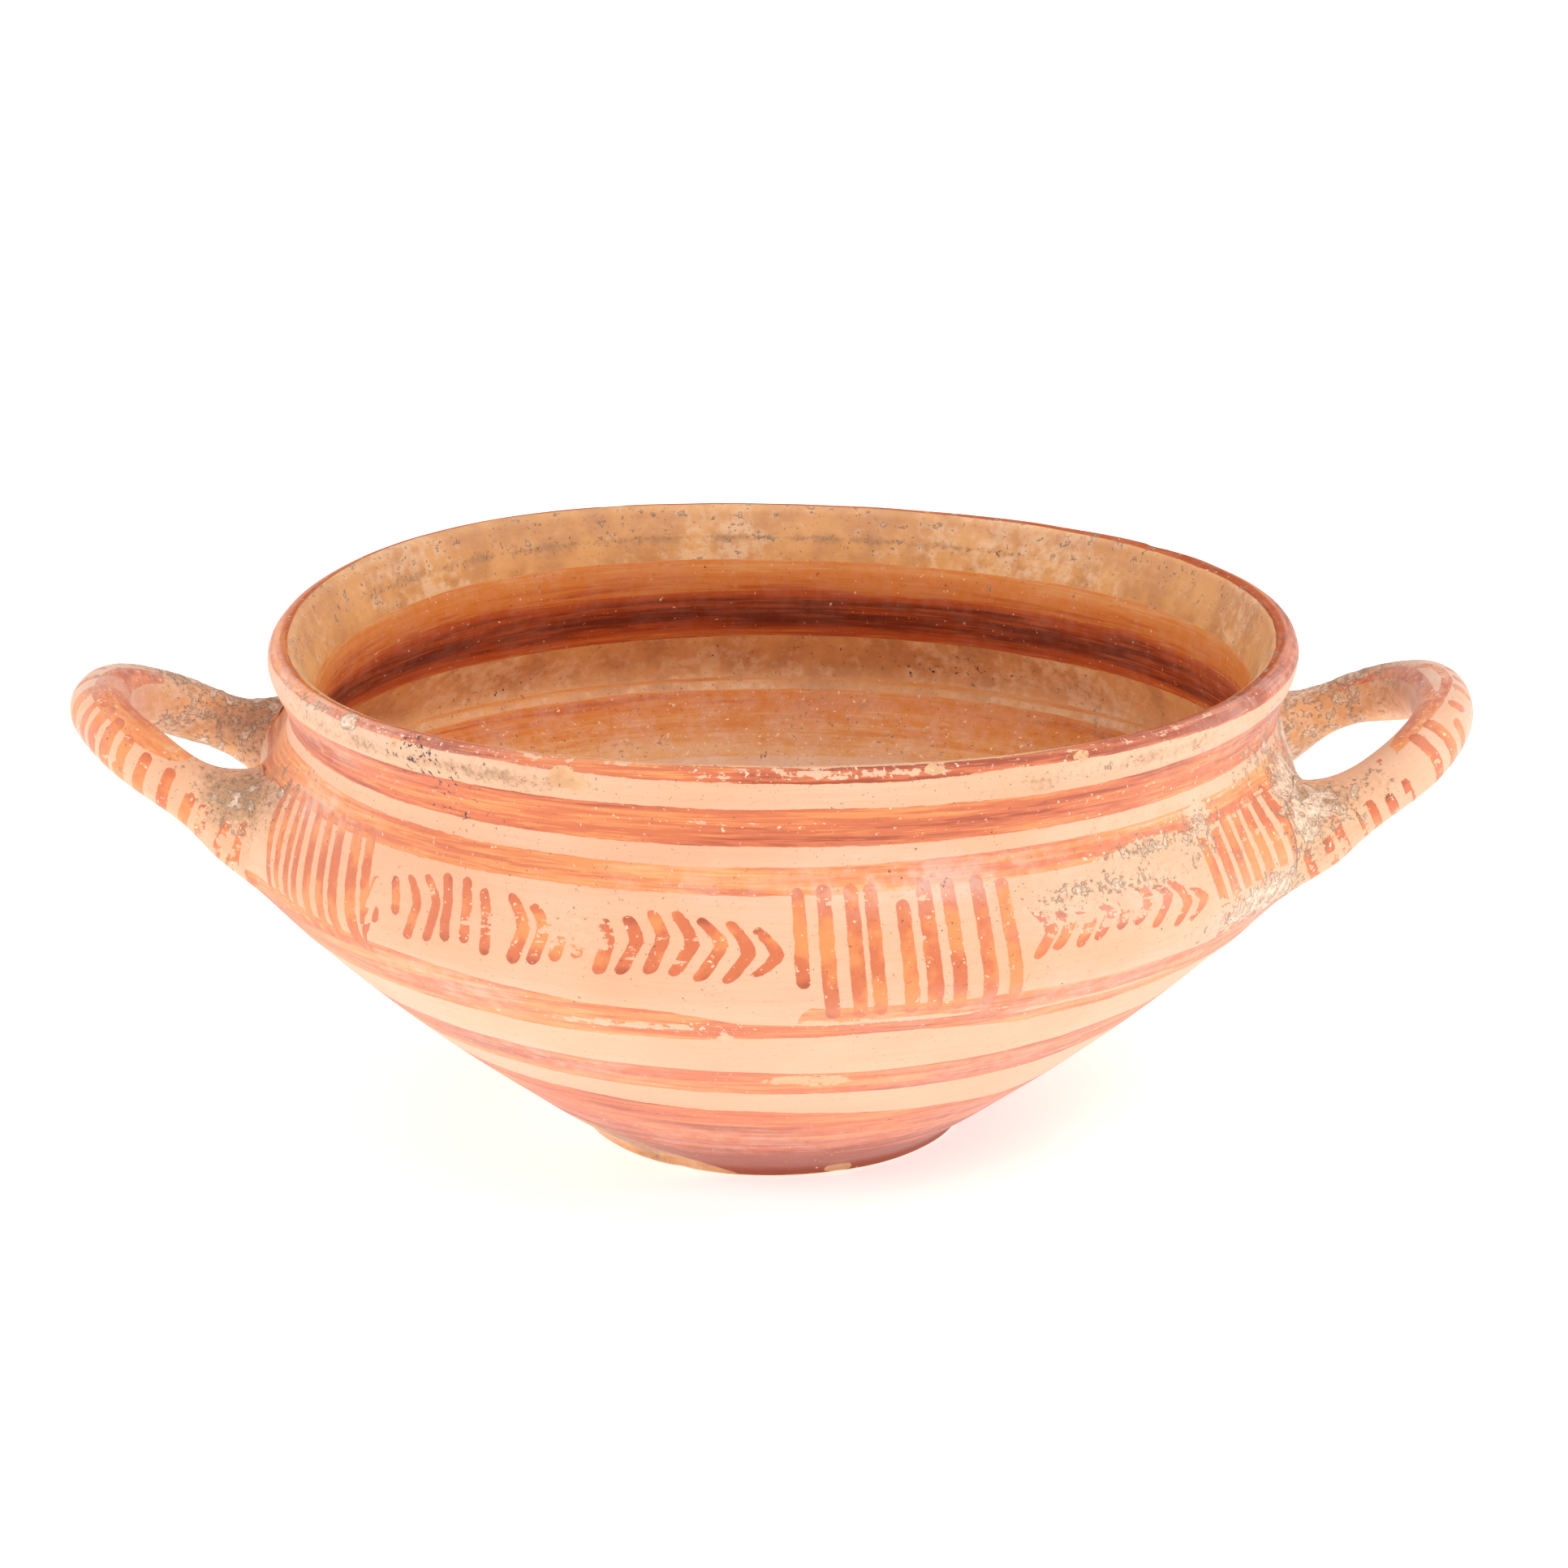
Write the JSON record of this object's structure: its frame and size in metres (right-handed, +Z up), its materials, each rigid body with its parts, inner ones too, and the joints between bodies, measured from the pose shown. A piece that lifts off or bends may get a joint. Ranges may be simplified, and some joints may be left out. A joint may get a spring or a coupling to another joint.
{
  "type": "two-handled cup",
  "caption": "Open fired-clay cup on a small flat foot: flaring bowl, rounded shoulder, low concave neck, rounded lip and looped side handles, painted with red bands.",
  "frame": {"origin": "middle of the foot's flat underside", "axes": "+Z up through the mouth, +X towards the handle at the picture's right, -Y towards the side that the picture shows"},
  "size_m": [0.217, 0.1648, 0.0816],
  "materials": {
    "fired_clay": "matt unglazed clay, worn paint"
  },
  "bodies": {
    "root": {"cup": "fired_clay"}
  },
  "joints": []
}
